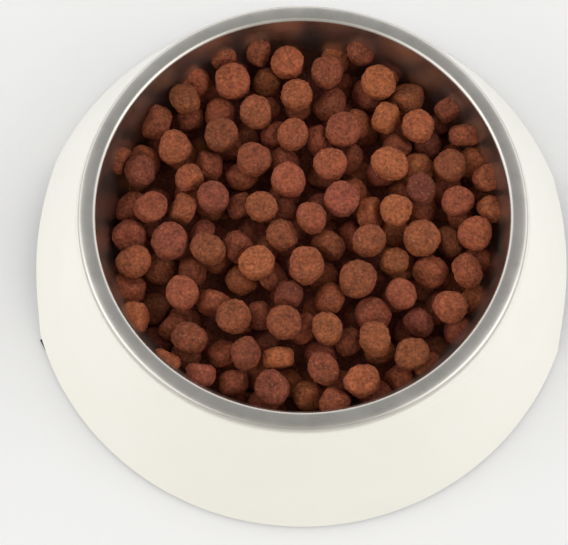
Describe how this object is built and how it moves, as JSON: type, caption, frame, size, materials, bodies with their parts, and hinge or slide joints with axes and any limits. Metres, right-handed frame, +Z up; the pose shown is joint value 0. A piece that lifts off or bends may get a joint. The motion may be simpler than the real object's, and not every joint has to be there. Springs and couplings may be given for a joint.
{
  "type": "filled pet food bowl",
  "caption": "Round pet food bowl: a steel bowl with a rolled rim, set in a flared white base with finger arches and rubber strips, filled with dry kibble.",
  "frame": {"origin": "on the floor, at the centre of the bowl", "axes": "+Z up, -Y the front, finger arches on the left and right along X"},
  "size_m": [0.1814, 0.1864, 0.0508],
  "materials": {
    "white_base": "smooth satin-gloss white moulding",
    "steel": "spun stainless steel, satin rim and brighter wall",
    "rubber": "matt black non-slip rubber",
    "kibble": null
  },
  "bodies": {
    "root": {"base_shell": "white_base", "steel_bowl": "steel", "rubber_strip_front": "rubber", "rubber_strip_rear": "rubber", "kibble_bed": "kibble", "kibble_01": "kibble", "kibble_02": "kibble", "kibble_03": "kibble", "kibble_04": "kibble", "kibble_05": "kibble", "kibble_06": "kibble", "kibble_07": "kibble", "kibble_08": "kibble", "kibble_09": "kibble", "kibble_10": "kibble", "kibble_11": "kibble", "kibble_12": "kibble", "kibble_13": "kibble", "kibble_14": "kibble", "kibble_15": "kibble", "kibble_16": "kibble", "kibble_17": "kibble", "kibble_18": "kibble", "kibble_19": "kibble", "kibble_20": "kibble", "kibble_21": "kibble", "kibble_22": "kibble", "kibble_23": "kibble", "kibble_24": "kibble", "kibble_25": "kibble", "kibble_26": "kibble", "kibble_27": "kibble", "kibble_28": "kibble", "kibble_29": "kibble", "kibble_30": "kibble", "kibble_31": "kibble", "kibble_32": "kibble", "kibble_33": "kibble", "kibble_34": "kibble", "kibble_35": "kibble", "kibble_36": "kibble", "kibble_37": "kibble", "kibble_38": "kibble", "kibble_39": "kibble", "kibble_40": "kibble", "kibble_41": "kibble", "kibble_42": "kibble", "kibble_43": "kibble", "kibble_44": "kibble", "kibble_45": "kibble", "kibble_46": "kibble", "kibble_47": "kibble", "kibble_48": "kibble", "kibble_49": "kibble"}
  },
  "joints": []
}
